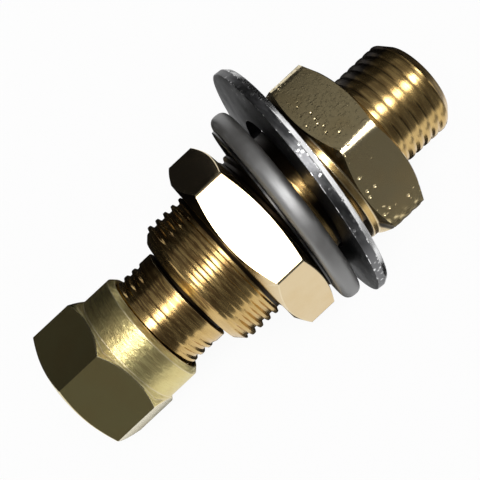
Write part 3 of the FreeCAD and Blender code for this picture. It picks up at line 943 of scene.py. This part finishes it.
theta = six_corner_angles(CAP_TURN)
hexagon, hex_worn = hexagon_radius(theta, CAP_TURN, CAP_ACROSS, CAP_CORNER_FLAT)
hex_worn = hex_worn * CAP_WEAR
over_skirt = hexagon - SKIRT_R
bore_r = COMP_R + NUT_MESH_GAP
mouth_r = bore_r + CAP_LEAD
cap_outside = softened(np.stack([
    row(theta, CAP_LEFT, HOLE_R),
    row(theta, CAP_LEFT, CAP_FACE_R),
    bevel_row(theta, hexagon, hex_worn, CAP_LEFT, CAP_FACE_R, CAP_BEVEL, 1),
    bevel_row(theta, hexagon, hex_worn, CAP_SHOULDER, SKIRT_R, CAP_SHOULDER_ANGLE, -1),
    row(theta, CAP_SHOULDER - SHOULDER_HOLLOW * over_skirt, SKIRT_R + HOLLOW_MIDDLE * over_skirt),
    row(theta, CAP_SHOULDER + SHOULDER_HOLLOW, SKIRT_R),
    row(theta, CAP_RIGHT - SKIRT_CHAMFER, SKIRT_R),
    row(theta, CAP_RIGHT, SKIRT_R - SKIRT_CHAMFER),
    row(theta, CAP_RIGHT, mouth_r)]), reach=0.12)
cap_thread = thread_rows(
    theta, CAP_SEAT, CAP_RIGHT, bore_r, COMP_DEPTH * GRIP_LEFT, fade=(CAP_FADE, NO_FADE))
cap_thread = over_cone(cap_thread, CAP_RIGHT, mouth_r)[::-1]
cap_inside = softened(np.stack([
    row(theta, CAP_SEAT, bore_r),
    row(theta, CAP_SEAT, SEAT_R),
    row(theta, SEAT_END, HOLE_R),
    row(theta, CAP_LEFT, HOLE_R)]), reach=0.1)
cap_rows = np.concatenate([cap_outside, cap_thread, cap_inside])
turned_piece("brass_compression_nut", turned_points(theta, cap_rows), cap_rows,
             "compression_nut", cap_brass)

# %% [markdown]
# ## The olive
# The olive is a small brass ring inside the compression nut, tapered both ways. The nut presses it into the
# cone mouth of the body, and it bites on the pipe. It is hidden until the nut comes off, and it is made as
# the rest: one closed profile, turned.

# %% Olive
olive_low, olive_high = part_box("olive")
OLIVE_LEFT, OLIVE_RIGHT = olive_low.x / MM, olive_high.x / MM
OLIVE_R = olive_high.z / MM
OLIVE_TAPER, OLIVE_END_R = 2.25, 5.45
OLIVE_SEAM = OLIVE_LEFT + 0.5


def even_angles(count):
    """One whole turn in equal steps, with the first angle again at the end."""
    return np.linspace(0.0, 2 * np.pi, count + 1)


theta = even_angles(120)
olive_rows = softened(np.stack([
    row(theta, OLIVE_SEAM, SOCKET_R),
    row(theta, OLIVE_LEFT, SOCKET_R),
    row(theta, OLIVE_LEFT, OLIVE_END_R),
    row(theta, OLIVE_LEFT + OLIVE_TAPER, OLIVE_R),
    row(theta, OLIVE_RIGHT - OLIVE_TAPER, OLIVE_R),
    row(theta, OLIVE_RIGHT, OLIVE_END_R),
    row(theta, OLIVE_RIGHT, SOCKET_R),
    row(theta, OLIVE_SEAM, SOCKET_R)]), reach=0.2)
turned_piece("brass_olive", turned_points(theta, olive_rows), olive_rows,
             "olive", olive_brass)

# %% [markdown]
# ## The loose rings
# The steel washer, the rubber ring and the thin slip washer lie loose on the shank and lean together. Each
# is a profile turned about its own axis, leaned, and moved so that its box lies where the CAD node's box
# lies. Turning the finished object would be simpler, but a piece has to stay unturned at the origin.

# %% Leaning rings
LEAN = math.radians(5.5)
RING_SIDE = math.radians(22.0)


def leaning_points(theta, rows, node, side=0.0):
    """Turn the rows, lean them and move the middle of their box to the middle of the node's box.

    The lean is a rotation about an axis across X: the ring tips towards +X on its +Y side, or on a side
    turned from there towards -Z.
    """
    tip = Matrix.Rotation(LEAN, 3, Vector((0.0, -math.sin(side), -math.cos(side))))
    points = turned_points(theta, rows) @ np.array(tip).T
    low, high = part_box(node)
    middle = np.array((low + high) / 2) / MM
    return points + middle - (points.min(axis=(0, 1)) + points.max(axis=(0, 1))) / 2


def ring_rows(theta, half, inner_r, outer, reach):
    """A closed ring: up the left face, over the outside, down the right face and back through the bore."""
    loop = [row(theta, 0.0, inner_r), row(theta, -half, inner_r)]
    loop += [row(theta, x, radius) for x, radius in outer]
    loop += [row(theta, half, inner_r), row(theta, 0.0, inner_r)]
    return softened(np.stack(loop), reach)


print(f"the rings lean {math.degrees(LEAN):.1f} degrees")

# %% [markdown]
# ## The steel washer
# The washer is dark steel, scuffed in patches on its rim, and painted lighter on its -Y side as a painted
# reflection of the floor. Small nicks through the dark skin flash white in the light, and the bevel on the
# edge towards the hexagon is worn down to bare metal. The finish knows where these lie from the numbers
# that ride along: here groove marks the rim and flat marks the bevel.

# %% Steel washer
STEEL_DARK = (0.09, 0.09, 0.093)
STEEL_SCUFF_AND_REFLECTION = (0.24, 0.24, 0.245)
STEEL_BARE = (0.96, 0.96, 0.96)
STEEL_SHEEN = (0.6, 0.6, 0.6)
WASHER_REFLECTION_SIDE = (-9.0, -15.0)
WASHER_HALF, WASHER_BORE_R, WASHER_R = 0.95, 11.5, 19.5
WASHER_BEVEL, WASHER_BEVEL_WIDTH = 0.75, 0.5


def worn_steel(name):
    """Dark steel: scuffed in patches on the rim, bare on the bevel and in the nicks."""
    material, pen, place = new_finish(name)
    rim, bevel, worn = mark(pen, "groove"), mark(pen, "flat"), mark(pen, "worn")
    patch = noise(stretched(place, 0.9, 0.3), detail=4.0).rise(0.40, 0.72)
    fine = noise(place, 6.0, detail=3.0)
    nick = noise(place, 1.3, detail=1.0).rise(0.55, 0.61) * worn.rise(0.1, 0.5)
    nick = nick.larger(pits(place, 0.95, 0.34) * rim)
    bare = nick.larger(bevel * (1 - patch * 0.12))
    # The -Y side is painted lighter as a painted reflection of the floor, on top of the scuffed patches.
    scuffed = patch.larger(coordinate(place, "Y").rise(*WASHER_REFLECTION_SIDE))
    colour = (scuffed * (rim * 0.75 + 0.1)).tint(STEEL_DARK, STEEL_SCUFF_AND_REFLECTION)
    colour = bare.tint(colour, STEEL_BARE)
    rough = 0.33 - rim * 0.07 + patch * 0.10 + fine * 0.08 - bare * 0.18
    normal = bump(fine * (1 - bevel * 0.8) + nick * 2.0, 0.012)
    return close_finish(material, pen, {
        "Base Color": colour, "Roughness": rough, "Normal": normal, "Metallic": 1.0,
        "Specular Tint": STEEL_SHEEN})


theta = even_angles(420)
bevel_start, bevel_r = WASHER_HALF - WASHER_BEVEL, WASHER_R - WASHER_BEVEL_WIDTH
washer_outer = [(-WASHER_HALF, WASHER_R), (bevel_start, WASHER_R), (WASHER_HALF, bevel_r)]
rows = ring_rows(theta, WASHER_HALF, WASHER_BORE_R, washer_outer, reach=0.12)
washer_x, washer_r = rows[..., X], rows[..., RADIUS]
rows[..., GROOVE] = ramp(washer_r, WASHER_R - 0.3, WASHER_R - 0.1)
rows[..., FLAT] = ramp(washer_x, bevel_start, bevel_start + 0.1) * (washer_r > bevel_r - 0.05)
turned_piece("worn_washer", leaning_points(theta, rows, "steel_washer"), rows,
             "steel_washer", worn_steel("worn_dark_steel"))

# %% [markdown]
# ## The rubber ring
# The rubber ring is black with the soft grey shine of a moulded skin. Rubber isn't a metal, so its shine is
# an untinted reflection over a dark colour, and a high index of refraction makes it strong enough. The
# crown of the ring is a half turn of a squared ellipse: sine and cosine, each to the power 0.8.

# %% Rubber ring
RUBBER = (0.038, 0.035, 0.031)
RUBBER_DUSTY = (0.09, 0.088, 0.084)
RUBBER_IOR = 2.15
SEAL_HALF, SEAL_BORE_R, SEAL_R, SEAL_CROWN = 1.475, 11.69, 16.5, 1.5
CROWN_POWER = 0.8


def moulded_rubber(name):
    """Black rubber with a soft skin, faint dust and the flow marks of the mould round the ring."""
    material, pen, place = new_finish(name)
    flow = noise(stretched(place, 1.6, 0.25), detail=3.0)
    dust = noise(place, 0.8, detail=4.0).rise(0.45, 0.8)
    pore = noise(place, 7.0)
    colour = (dust * 0.6 + flow * 0.2).tint(RUBBER, RUBBER_DUSTY)
    rough = 0.44 + flow * 0.08 + dust * 0.08
    normal = bump(pore + flow * 2.0, 0.008)
    return close_finish(material, pen, {
        "Base Color": colour, "Roughness": rough, "Normal": normal, "IOR": RUBBER_IOR,
        "Specular IOR Level": 1.0})


theta = even_angles(240)
swing = np.linspace(-np.pi / 2, np.pi / 2, 25)
crown_x = SEAL_HALF * np.sign(swing) * np.abs(np.sin(swing)) ** CROWN_POWER
crown_r = SEAL_R - SEAL_CROWN + SEAL_CROWN * np.abs(np.cos(swing)) ** CROWN_POWER
rows = ring_rows(theta, SEAL_HALF, SEAL_BORE_R, zip(crown_x, crown_r), reach=0.02)
turned_piece("rubber_ring", leaning_points(theta, rows, "seal_ring", RING_SIDE), rows,
             "seal_ring", moulded_rubber("moulded_rubber"))

# %% [markdown]
# ## The slip washer
# A thin black washer lies between the rubber ring and the lock nut, so that the nut can turn without
# dragging the rubber round. Only its upper edge shows. It has a film of oil, which is a patchy change of
# roughness more than of colour.

# %% Slip washer
OILED_BLACK = (0.05, 0.05, 0.05)
OIL_BROWN = (0.09, 0.085, 0.075)
SLIP_HALF, SLIP_BORE_R, SLIP_R = 0.2, 11.97, 14.07


def oiled_steel(name):
    """Thin black steel under a film of oil."""
    material, pen, place = new_finish(name)
    film = noise(place, 0.7, detail=3.0).rise(0.4, 0.7)
    fine = noise(stretched(place, 5.0, 0.6))
    colour = film.tint(OILED_BLACK, OIL_BROWN)
    rough = 0.26 + film * 0.12 + fine * 0.06
    return close_finish(material, pen, {
        "Base Color": colour, "Roughness": rough, "Normal": bump(fine, 0.006), "Metallic": 1.0})


slip_outer = [(-SLIP_HALF, SLIP_R), (SLIP_HALF, SLIP_R)]
rows = ring_rows(theta, SLIP_HALF, SLIP_BORE_R, slip_outer, reach=0.12)
turned_piece("thin_washer", leaning_points(theta, rows, "slip_washer", RING_SIDE), rows,
             "slip_washer", oiled_steel("oiled_black_steel"))

# %% [markdown]
# ## Finish
# The view transform is Standard, so a colour comes out as it is written.

# %% View settings
bpy.context.scene.view_settings.view_transform = "Standard"
